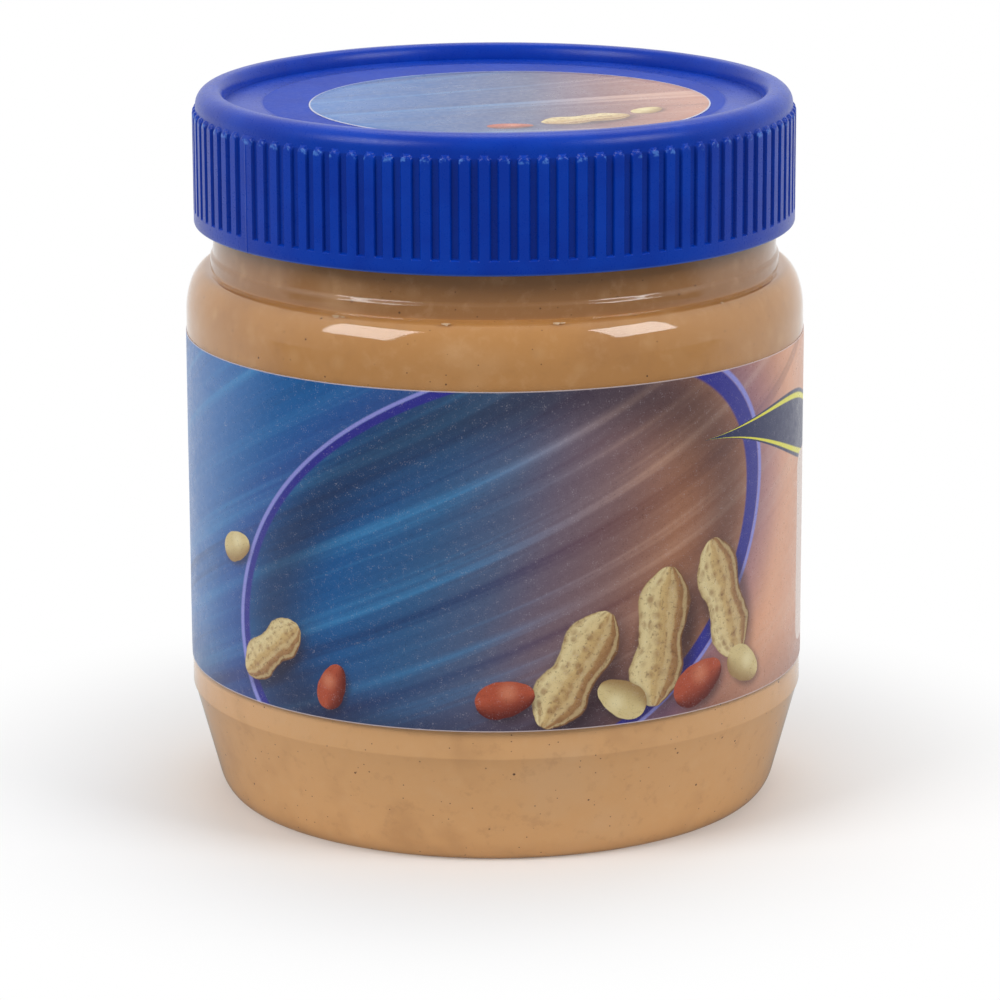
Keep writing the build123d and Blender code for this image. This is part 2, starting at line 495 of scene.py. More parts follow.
def make_flakes():
    """A few dry flakes stuck to the shoulder."""
    rng = np.random.default_rng(7)
    shelf = PANEL_TOP + SHOULDER_HEIGHT - 0.25
    places = [(-31.0, 0.55), (-29.5, 0.35), (-9.0, 0.6), (11.5, 0.5), (12.6, 0.3), (48.0, 0.3), (128.0, 0.5)]
    points, faces = [], []
    for turn_degrees, size in places:
        angle = math.radians(turn_degrees - 90)
        centre = Vector(((JAR_RADIUS - 1.9) * math.cos(angle), (JAR_RADIUS - 1.9) * math.sin(angle), shelf))
        out = Vector((math.cos(angle), math.sin(angle), 0))
        along = Vector((-math.sin(angle), math.cos(angle), 0))
        first = len(points)
        corners = 9
        for level in (0.0, 0.06):
            for corner in range(corners):
                bend = corner * 2 * math.pi / corners
                reach = size * (0.6 + 0.5 * rng.random())
                spot = centre + along * reach * math.cos(bend) + out * reach * 0.45 * math.sin(bend)
                spot.z += level - 0.5 * reach * max(math.sin(bend), 0) * 0.7
                points.append(spot * MM)
        faces.append([first + corner for corner in range(corners)][::-1])
        faces.append([first + corners + corner for corner in range(corners)])
        for corner in range(corners):
            after = (corner + 1) % corners
            faces.append([first + corner, first + after, first + corners + after, first + corners + corner])
    mesh = bpy.data.meshes.new("shoulder_flakes")
    mesh.from_pydata(points, [], faces)
    mesh.update()
    return finish_mesh("shoulder_flakes", mesh)


# ---------------------------------------------------------------- node helpers


class Tree:
    """Short ways to add nodes to one node tree."""

    def __init__(self, tree):
        self.tree = tree

    def add(self, kind, values=None, **fields):
        """New node with its fields set, and its inputs set or linked."""
        node = self.tree.nodes.new(kind)
        for name, value in fields.items():
            setattr(node, name, value)
        for key, value in (values or {}).items():
            self.put(node.inputs[key], value)
        return node

    def put(self, socket, value):
        if isinstance(value, bpy.types.NodeSocket):
            self.tree.links.new(value, socket)
        else:
            socket.default_value = value

    def math(self, operation, first, second=0.0, clamp=False):
        node = self.add("ShaderNodeMath", {0: first, 1: second}, operation=operation)
        node.use_clamp = clamp
        return node.outputs[0]

    def ramp(self, value, low, high, bottom=0.0, top=1.0):
        """Smooth step of a value between low and high."""
        values = {"Value": value, "From Min": low, "From Max": high, "To Min": bottom, "To Max": top}
        return self.add("ShaderNodeMapRange", values, interpolation_type="SMOOTHSTEP").outputs["Result"]

    def mix(self, share, first, second, blend="MIX"):
        """Mix of two colours."""
        node = self.add("ShaderNodeMix", data_type="RGBA", blend_type=blend)
        self.put(node.inputs[0], share)
        self.put(node.inputs[6], first)
        self.put(node.inputs[7], second)
        return node.outputs[2]

    def colours(self, value, stops):
        """Colour ramp from a list of places and colours."""
        node = self.add("ShaderNodeValToRGB", {0: value})
        elements = node.color_ramp.elements
        elements[0].position, elements[0].color = stops[0]
        elements[1].position, elements[1].color = stops[-1]
        for place, colour in stops[1:-1]:
            elements.new(place).color = colour
        return node.outputs[0]

    def noise(self, vector, scale, detail=2.0, roughness=0.5, stretch=None):
        if stretch:
            vector = self.add("ShaderNodeMapping", {0: vector, 3: stretch}).outputs[0]
        values = {"Vector": vector, "Scale": scale, "Detail": detail, "Roughness": roughness}
        return self.add("ShaderNodeTexNoise", values).outputs[0]

    def group(self, tree, values):
        node = self.tree.nodes.new("ShaderNodeGroup")
        node.node_tree = tree
        for key, value in values.items():
            self.put(node.inputs[key], value)
        return node.outputs

    def between(self, value, low, high, soft):
        """Mask of a value between low and high, with soft edges."""
        rise = self.ramp(value, self.math("SUBTRACT", low, soft), self.math("ADD", low, soft))
        fall = self.ramp(value, self.math("SUBTRACT", high, soft), self.math("ADD", high, soft))
        return self.math("MULTIPLY", rise, self.math("SUBTRACT", 1.0, fall))


def new_group(name, inputs, outputs):
    """Empty shader node group with named sockets, its Tree, and its two end nodes."""
    group = bpy.data.node_groups.new(name, "ShaderNodeTree")
    for title, kind, default in inputs:
        socket = group.interface.new_socket(title, in_out="INPUT", socket_type=kind)
        if default is not None:
            socket.default_value = default
    for title, kind in outputs:
        group.interface.new_socket(title, in_out="OUTPUT", socket_type=kind)
    start = group.nodes.new("NodeGroupInput")
    end = group.nodes.new("NodeGroupOutput")
    return group, Tree(group), start.outputs, end.inputs


def new_material(name):
    """Material with a Principled shader, its Tree, the shader and the output."""
    material = bpy.data.materials.new(name)
    material.use_nodes = True
    material.node_tree.nodes.clear()
    tree = Tree(material.node_tree)
    shader = tree.add("ShaderNodeBsdfPrincipled")
    output = tree.add("ShaderNodeOutputMaterial")
    tree.put(output.inputs["Surface"], shader.outputs[0])
    return material, tree, shader, output


def object_place(tree):
    """Place on the object in millimetres, as a vector."""
    place = tree.add("ShaderNodeTexCoord").outputs["Object"]
    return tree.add("ShaderNodeVectorMath", {0: place, "Scale": 1 / MM}, operation="SCALE").outputs[0]


# ---------------------------------------------------------------- shared effects


def grain_group():
    """Fine uneven grain: a value about one half, at a scale in grains per millimetre."""
    inputs = [("Vector", "NodeSocketVector", None), ("Fineness", "NodeSocketFloat", 4.0)]
    group, tree, start, end = new_group("fine grain", inputs, [("Grain", "NodeSocketFloat")])
    fine = tree.noise(start["Vector"], start["Fineness"], 2.0, 0.6)
    coarse = tree.noise(start["Vector"], tree.math("MULTIPLY", start["Fineness"], 0.21), 2.0, 0.5)
    fine = tree.math("MULTIPLY", fine, 0.65)
    coarse = tree.math("MULTIPLY", coarse, 0.35)
    tree.put(end["Grain"], tree.math("ADD", fine, coarse))
    return group


def streak_group():
    """Silky streaks that run along a slanted, slightly fanned direction."""
    inputs = [
        ("Vector", "NodeSocketVector", None),
        ("Slant", "NodeSocketFloat", 0.33),
        ("Fan", "NodeSocketFloat", 0.0),
    ]
    outputs = [("Light", "NodeSocketFloat"), ("Dark", "NodeSocketFloat")]
    group, tree, start, end = new_group("silk streaks", inputs, outputs)
    parts = tree.add("ShaderNodeSeparateXYZ", {0: start["Vector"]}).outputs
    along, up = parts[0], parts[1]
    across = tree.math("SUBTRACT", up, tree.math("MULTIPLY", along, start["Slant"]))
    fan = tree.math("MULTIPLY", tree.math("MULTIPLY", along, across), start["Fan"])
    across = tree.math("SUBTRACT", across, fan)
    vector = tree.add("ShaderNodeCombineXYZ", {0: tree.math("MULTIPLY", along, 0.02), 1: across}).outputs[0]
    broad = tree.noise(vector, 0.16, 2.0, 0.55)
    narrow = tree.noise(vector, 0.55, 2.0, 0.6)
    both = tree.math("ADD", tree.math("MULTIPLY", broad, 0.6), tree.math("MULTIPLY", narrow, 0.4))
    tree.put(end["Light"], tree.ramp(both, 0.5, 0.68))
    tree.put(end["Dark"], tree.ramp(both, 0.48, 0.32))
    return group


def end_width(tree, along, fullness):
    """Share of a motif's full width at a place along it, down to nothing at its two ends."""
    power = tree.math("POWER", tree.math("ABSOLUTE", along), fullness)
    return tree.math("SQRT", tree.math("MAXIMUM", tree.math("SUBTRACT", 1.0, power), 0.0001))


def motif_mask(tree, along, across):
    """1 inside a motif's outline, and 0 outside it and beyond its two ends."""
    inside = tree.ramp(tree.math("ABSOLUTE", along), 1.0, 0.97)
    return tree.math("MULTIPLY", tree.ramp(tree.math("ABSOLUTE", across), 1.0, 0.93), inside)


def shell_group():
    """Peanut in its shell, two lobes long, one unit from the middle to each end."""
    inputs = [("Vector", "NodeSocketVector", None), ("Seed", "NodeSocketFloat", 0.0)]
    outputs = [("Color", "NodeSocketColor"), ("Mask", "NodeSocketFloat")]
    group, tree, start, end = new_group("peanut shell", inputs, outputs)
    parts = tree.add("ShaderNodeSeparateXYZ", {0: start["Vector"]}).outputs
    along, up = parts[0], parts[1]
    lobes = tree.math("COSINE", tree.math("MULTIPLY", along, 5.6))
    width = tree.math("SUBTRACT", 0.43, tree.math("MULTIPLY", lobes, 0.065))
    width = tree.math("MULTIPLY", width, end_width(tree, along, 2.6))
    seeded = tree.add("ShaderNodeCombineXYZ", {0: along, 1: up, 2: start["Seed"]}).outputs[0]
    rough = tree.math("MULTIPLY", tree.math("SUBTRACT", tree.noise(seeded, 3.5, 2.0), 0.5), 0.09)
    across = tree.math("DIVIDE", tree.math("ADD", up, rough), width)
    turned = tree.math("ARCSINE", tree.math("MAXIMUM", tree.math("MINIMUM", across, 1.0), -1.0))
    values = {0: tree.math("MULTIPLY", along, 7.0), 1: tree.math("MULTIPLY", turned, 2.4), 2: start["Seed"]}
    net = tree.add("ShaderNodeCombineXYZ", values).outputs[0]
    cells = {"Vector": net, "Scale": 1.0, "Randomness": 0.75}
    pits = tree.add("ShaderNodeTexVoronoi", cells).outputs["Distance"]
    pit = tree.ramp(pits, 0.62, 0.15)
    lines = tree.math("ADD", tree.math("MULTIPLY", turned, 5.0), tree.math("MULTIPLY", rough, 18.0))
    wave = tree.math("ABSOLUTE", tree.math("SINE", lines))
    ridge = tree.ramp(wave, 0.55, 1.0)
    base = tree.colours(
        tree.math("ADD", tree.math("MULTIPLY", across, 0.5), 0.5, clamp=True),
        [
            (0.0, rgba(112, 74, 46)),
            (0.22, rgba(165, 124, 80)),
            (0.55, rgba(206, 176, 120)),
            (0.85, rgba(226, 208, 158)),
            (1.0, rgba(190, 166, 116)),
        ],
    )
    base = tree.mix(tree.math("MULTIPLY", pit, 0.62), base, rgba(142, 100, 62))
    base = tree.mix(tree.math("MULTIPLY", ridge, 0.4), base, rgba(232, 212, 160))
    speck = tree.ramp(tree.noise(seeded, 16.0, 2.0), 0.56, 0.7)
    base = tree.mix(tree.math("MULTIPLY", speck, 0.45), base, rgba(104, 70, 44))
    tree.put(end["Color"], base)
    tree.put(end["Mask"], motif_mask(tree, along, across))
    return group


def kernel_group():
    """Shelled kernel, an egg one unit from the middle to each end."""
    inputs = [
        ("Vector", "NodeSocketVector", None),
        ("Skin", "NodeSocketColor", rgba(176, 78, 52)),
        ("Shade", "NodeSocketColor", rgba(92, 28, 22)),
        ("Shine", "NodeSocketColor", rgba(222, 140, 104)),
    ]
    outputs = [("Color", "NodeSocketColor"), ("Mask", "NodeSocketFloat")]
    group, tree, start, end = new_group("peanut kernel", inputs, outputs)
    parts = tree.add("ShaderNodeSeparateXYZ", {0: start["Vector"]}).outputs
    along, up = parts[0], parts[1]
    width = tree.math("SUBTRACT", 0.64, tree.math("MULTIPLY", along, 0.1))
    width = tree.math("MULTIPLY", width, end_width(tree, along, 2.2))
    wobble = tree.math("MULTIPLY", tree.math("SUBTRACT", tree.noise(start["Vector"], 1.6, 1.0), 0.5), 0.12)
    across = tree.math("DIVIDE", tree.math("ADD", up, wobble), width)
    base = tree.mix(tree.ramp(across, 0.3, -1.0), start["Skin"], start["Shade"])
    veins = tree.noise(start["Vector"], 5.0, 3.0, 0.6, (0.5, 2.6, 1.0))
    base = tree.mix(tree.ramp(veins, 0.55, 0.8, 0.0, 0.6), base, start["Shade"])
    shine_place = {0: start["Vector"], 1: (0.15, 0.22, 0.0)}
    offset = tree.add("ShaderNodeVectorMath", shine_place, operation="DISTANCE")
    glow = tree.ramp(offset.outputs["Value"], 0.5, 0.0, 0.0, 0.55)
    tree.put(end["Color"], tree.mix(glow, base, start["Shine"]))
    tree.put(end["Mask"], motif_mask(tree, along, across))
    return group


SHARED = {}


def shared(name):
    """Shared node groups, each built once."""
    makers = {"grain": grain_group, "streaks": streak_group, "shell": shell_group, "kernel": kernel_group}
    if name not in SHARED:
        SHARED[name] = makers[name]()
    return SHARED[name]


# ---------------------------------------------------------------- print


RED_KERNEL = (rgba(178, 82, 56), rgba(96, 30, 24), rgba(224, 146, 112))
PALE_KERNEL = (rgba(214, 194, 140), rgba(158, 126, 80), rgba(240, 228, 184))


def place_on_print(tree, vector, x, y, angle, half_length):
    """The print's own place, turned and scaled so that a motif is one unit long each way."""
    values = {0: vector, 1: (x, y, 0.0), 2: (0.0, 0.0, math.radians(angle)), 3: (half_length,) * 3}
    return tree.add("ShaderNodeMapping", values, vector_type="TEXTURE").outputs[0]


def print_shadow(tree, colour, vector, x, y, angle, half_length, flat=0.5):
    """Soft dark patch under a motif."""
    local = place_on_print(tree, vector, x + half_length * 0.1, y - half_length * 0.12, angle, half_length)
    squashed = tree.add("ShaderNodeVectorMath", {0: local, 1: (1.0, 1 / flat, 1.0)}, operation="MULTIPLY")
    distance = tree.add("ShaderNodeVectorMath", {0: squashed.outputs[0]}, operation="LENGTH").outputs["Value"]
    return tree.mix(tree.ramp(distance, 1.25, 0.7, 0.0, 0.6), colour, rgba(38, 20, 28))


def print_shell(tree, colour, vector, x, y, angle, half_length, seed):
    """A peanut in its shell, printed over a colour."""
    colour = print_shadow(tree, colour, vector, x, y, angle, half_length)
    local = place_on_print(tree, vector, x, y, angle, half_length)
    out = tree.group(shared("shell"), {"Vector": local, "Seed": seed})
    return tree.mix(out["Mask"], colour, out["Color"])


def print_kernel(tree, colour, vector, x, y, angle, half_length, skin):
    """A kernel, printed over a colour."""
    colour = print_shadow(tree, colour, vector, x, y, angle, half_length, 0.68)
    local = place_on_print(tree, vector, x, y, angle, half_length)
    values = {"Vector": local, "Skin": skin[0], "Shade": skin[1], "Shine": skin[2]}
    out = tree.group(shared("kernel"), values)
    return tree.mix(out["Mask"], colour, out["Color"])


def print_streaks(tree, colour, vector, light, dark, slant, fan, amount):
    """Silky streaks over a colour."""
    out = tree.group(shared("streaks"), {"Vector": vector, "Slant": slant, "Fan": fan})
    colour = tree.mix(tree.math("MULTIPLY", out["Dark"], amount), colour, dark)
    return tree.mix(tree.math("MULTIPLY", out["Light"], amount), colour, light)


def label_print(tree, place):
    """The label's print: colour fields, streaks, a slanting oval band, a ribbon and peanuts."""
    parts = tree.add("ShaderNodeSeparateXYZ", {0: place}).outputs
    turn = tree.math("ARCTAN2", parts[0], tree.math("MULTIPLY", parts[1], -1.0))
    along = tree.math("MULTIPLY", turn, LABEL_RADIUS)
    up = parts[2]
    vector = tree.add("ShaderNodeCombineXYZ", {0: along, 1: up, 2: 0.0}).outputs[0]
    middle = (LABEL_BOTTOM + LABEL_TOP) / 2
    half_round = math.pi * LABEL_RADIUS
    lean = tree.math("MULTIPLY", tree.math("SUBTRACT", up, middle), 0.22)
    share = tree.math("ADD", tree.math("DIVIDE", tree.math("SUBTRACT", along, lean), 2 * half_round), 0.5)
    fields = [
        (-120, rgba(150, 92, 76)),
        (-95, rgba(70, 92, 150)),
        (-70, rgba(62, 120, 190)),
        (-44, rgba(52, 112, 178)),
        (-33, rgba(8, 92, 158)),
        (-20, rgba(18, 88, 150)),
        (-8, rgba(50, 92, 138)),
        (0, rgba(80, 94, 126)),
        (6, rgba(110, 96, 112)),
        (14, rgba(132, 100, 98)),
        (22, rgba(164, 114, 88)),
        (32, rgba(190, 128, 94)),
        (42, rgba(228, 168, 134)),
        (56, rgba(210, 152, 122)),
        (72, rgba(178, 112, 86)),
        (120, rgba(150, 92, 76)),
    ]
    stops = [(0.5 + spot / (2 * half_round), colour) for spot, colour in fields]
    colour = tree.colours(share, stops)
    warm = tree.ramp(along, -6.0, 22.0)
    light = tree.mix(warm, rgba(70, 150, 206), rgba(222, 178, 152))
    dark = tree.mix(warm, rgba(20, 42, 96), rgba(106, 52, 40))
    colour = print_streaks(tree, colour, vector, light, dark, 0.3, 0.004, 0.6)
    edge_shade = tree.ramp(up, LABEL_BOTTOM + 9, LABEL_BOTTOM - 2, 0.0, 0.45)
    colour = tree.mix(edge_shade, colour, rgba(60, 36, 66))

    oval = tree.add(
        "ShaderNodeMapping",
        {0: vector, 1: (1.0, 36.0, 0.0), 2: (0.0, 0.0, math.radians(24)), 3: (38.0, 24.0, 1.0)},
        vector_type="TEXTURE",
    ).outputs[0]
    reach = tree.add("ShaderNodeVectorMath", {0: oval}, operation="LENGTH").outputs["Value"]
    front = tree.between(along, -75.0, 75.0, 3.0)
    inner = tree.math("MULTIPLY", tree.between(reach, 0.7, 0.97, 0.13), tree.math("MULTIPLY", front, 0.62))
    colour = tree.mix(inner, colour, rgba(34, 32, 52))
    outside = tree.math("MULTIPLY", tree.ramp(reach, 1.02, 1.3, 0.35, 0.0), tree.ramp(reach, 0.99, 1.01))
    colour = tree.mix(tree.math("MULTIPLY", outside, front), colour, rgba(60, 70, 150))
    thick = tree.ramp(along, -40.0, 40.0, 0.03, 0.07)
    band = tree.between(reach, tree.math("SUBTRACT", 1.0, thick), 1.0, 0.006)
    colour = tree.mix(tree.math("MULTIPLY", band, front), colour, rgba(44, 44, 142))
    rim = tree.math("MULTIPLY", tree.between(reach, 1.0, 1.018, 0.005), front)
    colour = tree.mix(rim, colour, rgba(142, 144, 218))

    colour = print_shell(tree, colour, vector, -30.0, 24.5, 38.0, 6.0, 3.0)
    colour = print_kernel(tree, colour, vector, -20.5, 21.5, 70.0, 3.0, RED_KERNEL)
    colour = print_kernel(tree, colour, vector, -36.5, 36.0, 20.0, 2.9, PALE_KERNEL)
    colour = print_shell(tree, colour, vector, 9.5, 24.6, 58.0, 8.0, 1.0)
    colour = print_kernel(tree, colour, vector, 1.0, 21.4, 12.0, 3.6, RED_KERNEL)
    colour = print_shell(tree, colour, vector, 30.5, 30.5, 108.0, 8.2, 5.0)
    colour = print_shell(tree, colour, vector, 20.5, 27.5, 82.0, 8.6, 9.0)
    colour = print_kernel(tree, colour, vector, 15.3, 20.6, 150.0, 3.5, PALE_KERNEL)
    colour = print_kernel(tree, colour, vector, 26.2, 21.0, 24.0, 4.0, RED_KERNEL)
    colour = print_kernel(tree, colour, vector, 34.2, 21.6, -30.0, 3.4, PALE_KERNEL)

    start = tree.math("SUBTRACT", along, 30.0)
    swing = tree.math("ADD", 50.5, tree.math("MULTIPLY", tree.math("MULTIPLY", start, start), -0.006))
    half_width = tree.ramp(along, 26.0, 52.0, 0.0, 4.4)
    offset = tree.math("DIVIDE", tree.math("SUBTRACT", up, swing), tree.math("MAXIMUM", half_width, 0.01))
    distance = tree.math("ABSOLUTE", offset)
    on_ribbon = tree.math("MULTIPLY", tree.ramp(distance, 1.03, 0.97), tree.between(along, 27.0, 92.0, 0.1))
    colour = tree.mix(on_ribbon, colour, rgba(28, 38, 84))
    line = tree.math("MULTIPLY", tree.between(distance, 0.72, 0.88, 0.03), on_ribbon)
    colour = tree.mix(line, colour, rgba(232, 226, 74))

    for centre in (66.0, -84.0):
        wide = tree.math("SUBTRACT", tree.math("ABSOLUTE", tree.math("SUBTRACT", along, centre)), 13.5)
        tall = tree.math("SUBTRACT", tree.math("ABSOLUTE", tree.math("SUBTRACT", up, 32.0)), 10.0)
        wide = tree.math("MAXIMUM", wide, 0.0)
        tall = tree.math("MAXIMUM", tall, 0.0)
        squares = tree.math("ADD", tree.math("MULTIPLY", wide, wide), tree.math("MULTIPLY", tall, tall))
        corner = tree.math("SQRT", squares)
        colour = tree.mix(tree.ramp(corner, 2.05, 1.95), colour, rgba(226, 206, 196))
    grain = tree.group(shared("grain"), {"Vector": vector, "Fineness": 5.5})["Grain"]
    colour = tree.mix(tree.ramp(grain, 0.55, 0.72, 0.0, 0.28), colour, rgba(214, 206, 214))
    return tree.mix(tree.ramp(grain, 0.46, 0.3, 0.0, 0.3), colour, rgba(22, 22, 40))


def sticker_print(tree, place):
    """The sticker's print: the label's colours and streaks, with a few peanuts."""
    centre = (STICKER_X, STICKER_Y, 0.0)
    vector = tree.add("ShaderNodeVectorMath", {0: place, 1: centre}, operation="SUBTRACT").outputs[0]
    parts = tree.add("ShaderNodeSeparateXYZ", {0: vector}).outputs
    share = tree.math("ADD", tree.math("DIVIDE", parts[0], 2 * STICKER_RADIUS), 0.5)
    fields = [
        (0.0, rgba(40, 106, 180)),
        (0.3, rgba(28, 84, 150)),
        (0.55, rgba(84, 90, 126)),
        (0.75, rgba(140, 100, 100)),
        (1.0, rgba(196, 140, 116)),
    ]
    colour = tree.colours(share, fields)
    warm = tree.ramp(parts[0], -4.0, 16.0)
    light = tree.mix(warm, rgba(92, 156, 210), rgba(228, 190, 170))
    dark = tree.mix(warm, rgba(22, 44, 100), rgba(112, 60, 52))
    flat = tree.add("ShaderNodeVectorMath", {0: vector, 1: (1.0, 1.0, 0.0)}, operation="MULTIPLY").outputs[0]
    colour = print_streaks(tree, colour, flat, light, dark, 0.4, 0.01, 0.6)
    colour = print_shell(tree, colour, flat, 9.0, -12.0, 30.0, 6.0, 2.0)
    colour = print_kernel(tree, colour, flat, 0.0, -17.0, 10.0, 2.8, RED_KERNEL)
    colour = print_kernel(tree, colour, flat, 16.5, -6.0, 60.0, 2.6, PALE_KERNEL)
    distance = tree.add("ShaderNodeVectorMath", {0: flat}, operation="LENGTH").outputs["Value"]
    edge = tree.ramp(distance, STICKER_RADIUS - 0.24, STICKER_RADIUS - 0.12)
    return tree.mix(edge, colour, rgba(196, 198, 214))


# ---------------------------------------------------------------- materials


def clear_plastic(settings):
    """Clear jar plastic. Light for what lies behind it passes straight through."""
    material, tree, shader, output = new_material("clear jar plastic")
    tree.put(shader.inputs["Base Color"], (0.985, 0.975, 0.955, 1.0))
    tree.put(shader.inputs["Transmission Weight"], 1.0)
    tree.put(shader.inputs["IOR"], 1.55)
    place = object_place(tree)
    smear = tree.noise(place, 0.06, 3.0, 0.6)
    base = settings.plastic_roughness
    tree.put(shader.inputs["Roughness"], tree.ramp(smear, 0.35, 0.7, base, base + 0.05))
    wave = tree.noise(place, 0.05, 2.0, 0.5, (1.0, 1.0, 0.5))
    bump = tree.add("ShaderNodeBump", {"Strength": 0.25, "Distance": 0.4 * MM, "Height": wave})
    tree.put(shader.inputs["Normal"], bump.outputs[0])
    clear = tree.add("ShaderNodeBsdfTransparent", {0: (0.97, 0.96, 0.94, 1.0)}).outputs[0]
    rays = tree.add("ShaderNodeLightPath").outputs
    shadow_mix = {0: rays["Is Shadow Ray"], 1: shader.outputs[0], 2: clear}
    first = tree.add("ShaderNodeMixShader", shadow_mix).outputs[0]
    diffuse_mix = {0: rays["Is Diffuse Ray"], 1: first, 2: clear}
    second = tree.add("ShaderNodeMixShader", diffuse_mix).outputs[0]
    tree.put(output.inputs["Surface"], second)
    return material


def peanut_butter(settings):
    """Peanut butter pressed against the wall: mottled, with dark skin specks, pale crumbs and painted shade
    in the neck under the lid.
    """
    material, tree, shader, _ = new_material("peanut butter")
    place = object_place(tree)
    height = tree.add("ShaderNodeSeparateXYZ", {0: place}).outputs[2]
    low = tuple(settings.contents_low) + (1.0,)
    high = tuple(settings.contents_high) + (1.0,)
    colour = tree.mix(tree.ramp(height, 14.0, 56.0), low, high)
    # Painted shade: above the shoulder's shelf, in the neck under the lid, the contents turn darker.
    shelf = PANEL_TOP + SHOULDER_HEIGHT
    colour = tree.mix(tree.ramp(height, shelf - 0.6, shelf + 0.4, 0.0, 0.55), colour, rgba(118, 78, 46))
    cloud = tree.noise(place, 0.075, 3.0, 0.55)
    colour = tree.mix(tree.ramp(cloud, 0.5, 0.75, 0.0, 0.4), colour, rgba(214, 174, 132))
    colour = tree.mix(tree.ramp(cloud, 0.48, 0.25, 0.0, 0.4), colour, rgba(164, 116, 72))
    mottle = tree.noise(place, 0.5, 4.0, 0.65)
    colour = tree.mix(tree.ramp(mottle, 0.5, 0.75, 0.0, 0.16), colour, rgba(222, 182, 140))
    colour = tree.mix(tree.ramp(mottle, 0.46, 0.28, 0.0, 0.18), colour, rgba(158, 112, 70))
    specks = ((0.55, 0.095, 0.9, 0.0), (1.1, 0.12, 0.75, 40.0), (0.28, 0.06, 0.95, 90.0))
    for scale, size, amount, seed in specks:
        shift = {0: place, 1: (seed, seed, seed)}
        shifted = tree.add("ShaderNodeVectorMath", shift, operation="ADD").outputs[0]
        cells = tree.add("ShaderNodeTexVoronoi", {"Vector": shifted, "Scale": scale, "Randomness": 1.0})
        chosen = tree.add("ShaderNodeSeparateColor", {0: cells.outputs["Color"]}).outputs[0]
        spot = tree.ramp(cells.outputs["Distance"], size, size * 0.5)
        keep = tree.ramp(chosen, 0.62, 0.66)
        speck = tree.math("MULTIPLY", tree.math("MULTIPLY", spot, keep), amount)
        colour = tree.mix(speck, colour, rgba(74, 44, 26))
    crumbs = tree.add("ShaderNodeTexVoronoi", {"Vector": place, "Scale": 0.22, "Randomness": 1.0})
    crumb = tree.ramp(crumbs.outputs["Distance"], 0.3, 0.02, 0.0, 0.14)
    colour = tree.mix(crumb, colour, rgba(226, 188, 142))
    tree.put(shader.inputs["Base Color"], colour)
    tree.put(shader.inputs["Roughness"], tree.ramp(mottle, 0.3, 0.7, 0.45, 0.65))
    tree.put(shader.inputs["Specular IOR Level"], 0.15)
    bump = tree.add("ShaderNodeBump", {"Strength": 0.2, "Distance": 0.15 * MM, "Height": mottle})
    tree.put(shader.inputs["Normal"], bump.outputs[0])
    return material


def lid_plastic(settings):
    """Moulded blue plastic: smooth on the rim, finely textured on the disc, faintly scratched and dusty, with
    painted shade in the grooves and painted highlights on the rib ends and along the lower edge.
    """
    material, tree, shader, _ = new_material("moulded blue plastic")
    place = object_place(tree)
    parts = tree.add("ShaderNodeSeparateXYZ", {0: place}).outputs
    flat = tree.add("ShaderNodeCombineXYZ", {0: parts[0], 1: parts[1], 2: 0.0}).outputs[0]
    radius = tree.add("ShaderNodeVectorMath", {0: flat}, operation="LENGTH").outputs["Value"]
    deep = tuple(settings.colour) + (1.0,)
    cloud = tree.noise(place, 0.12, 3.0, 0.6)
    colour = tree.mix(tree.ramp(cloud, 0.3, 0.75), deep, rgba(0, 60, 174))
    # Painted shade: the plastic in the grooves between the ribs is darkened.
    in_groove = tree.ramp(radius, RIB_RADIUS - 0.1, RIB_RADIUS - RIB_PROUD - 0.02)
    painted_groove_shade = tree.math("MULTIPLY", tree.between(parts[2], RIB_BOTTOM, RIB_TOP - 0.4, 0.15), in_groove)
    colour = tree.mix(tree.math("MULTIPLY", painted_groove_shade, 0.35), colour, rgba(2, 26, 104))
    grain = tree.group(shared("grain"), {"Vector": place, "Fineness": 6.0})["Grain"]
    # Painted highlight: lighter blue patches on the rounded rib ends stand in for their bright edges.
    rib_ends = tree.between(parts[2], RIB_TOP - 0.95, RIB_TOP - 0.35, 0.15)
    proud = tree.ramp(radius, RIB_RADIUS - 0.3, RIB_RADIUS - 0.12)
    patch = tree.ramp(tree.noise(place, 0.9, 3.0, 0.7), 0.5, 0.62)
    rib_end_highlight = tree.math("MULTIPLY", tree.math("MULTIPLY", rib_ends, proud), tree.math("MULTIPLY", patch, 0.5))
    colour = tree.mix(rib_end_highlight, colour, rgba(96, 150, 228))
    dust = tree.math("MULTIPLY", tree.ramp(tree.noise(place, 2.4, 3.0, 0.7), 0.7, 0.8), 0.35)
    colour = tree.mix(dust, colour, rgba(110, 150, 220))
    # Painted highlight: a light blue line along the lid's lower edge.
    lower_edge_highlight = tree.ramp(parts[2], LID_BOTTOM + 0.32, LID_BOTTOM + 0.08, 0.0, 0.4)
    colour = tree.mix(lower_edge_highlight, colour, rgba(90, 134, 214))
    tree.put(shader.inputs["Base Color"], colour)
    near_middle = tree.ramp(radius, DISC_RADIUS, DISC_RADIUS - 0.3)
    on_disc = tree.math("MULTIPLY", near_middle, tree.ramp(parts[2], LID_TOP - 2.2, LID_TOP - 1.9))
    smooth_part = tree.ramp(grain, 0.3, 0.7, settings.roughness - 0.05, settings.roughness + 0.08)
    tree.put(shader.inputs["Roughness"], tree.math("ADD", smooth_part, tree.math("MULTIPLY", on_disc, 0.22)))
    tree.put(shader.inputs["Specular IOR Level"], 0.2)
    height = tree.math("MULTIPLY", grain, tree.math("ADD", 0.12, tree.math("MULTIPLY", on_disc, 0.9)))
    scratch = tree.noise(place, 0.8, 2.0, 0.6, (0.15, 0.15, 3.0))
    height = tree.math("ADD", height, tree.math("MULTIPLY", scratch, 0.1))
    bump = tree.add("ShaderNodeBump", {"Strength": 0.35, "Distance": 0.06 * MM, "Height": height})
    tree.put(shader.inputs["Normal"], bump.outputs[0])
    return material


